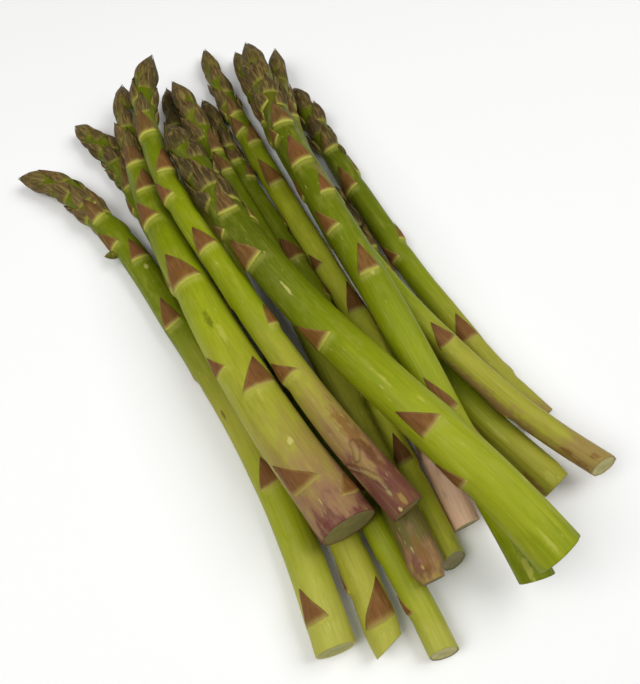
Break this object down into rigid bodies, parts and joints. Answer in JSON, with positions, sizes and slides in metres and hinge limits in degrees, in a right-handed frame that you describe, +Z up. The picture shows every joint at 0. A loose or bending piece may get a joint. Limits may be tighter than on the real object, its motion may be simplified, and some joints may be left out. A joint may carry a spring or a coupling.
{
  "type": "bundle of asparagus",
  "caption": "Loose bundle of fresh green asparagus spears lying in a low heap, scaly pointed tips one way and cut ends the other.",
  "frame": {"origin": "middle of the heap's box, on the surface it lies on", "axes": "+Y towards the tips of the spears, +Z up, +X to the right of the heap seen from its cut ends"},
  "size_m": [0.144, 0.268, 0.0431],
  "materials": {
    "far_left_skin": "fresh green spear skin, soft sheen",
    "left_lower_skin": "fresh green spear skin, soft sheen",
    "left_inner_skin": "fresh green spear skin, soft sheen",
    "left_thick_skin": "fresh green spear skin, purple towards the cut end",
    "left_upper_skin": "fresh green spear skin, purple towards the cut end",
    "middle_lower_skin": "fresh spear skin, brownish green",
    "middle_slender_skin": "fresh green spear skin, soft sheen",
    "middle_pink_skin": "fresh green spear skin, pink towards the cut end",
    "middle_hidden_skin": "fresh green spear skin, soft sheen",
    "top_crossing_skin": "fresh green spear skin, soft sheen",
    "right_upper_skin": "fresh green spear skin, soft sheen",
    "right_lower_skin": "fresh green spear skin, soft sheen",
    "right_outer_skin": "fresh green spear skin, soft sheen",
    "far_right_skin": "fresh green spear skin, soft sheen"
  },
  "bodies": {
    "root": {"spear_far_left": "far_left_skin", "spear_left_lower": "left_lower_skin", "spear_left_inner": "left_inner_skin", "spear_left_thick": "left_thick_skin", "spear_left_upper": "left_upper_skin", "spear_middle_lower": "middle_lower_skin", "spear_middle_slender": "middle_slender_skin", "spear_middle_pink": "middle_pink_skin", "spear_middle_hidden": "middle_hidden_skin", "spear_top_crossing": "top_crossing_skin", "spear_right_upper": "right_upper_skin", "spear_right_lower": "right_lower_skin", "spear_right_outer": "right_outer_skin", "spear_far_right": "far_right_skin"}
  },
  "joints": []
}
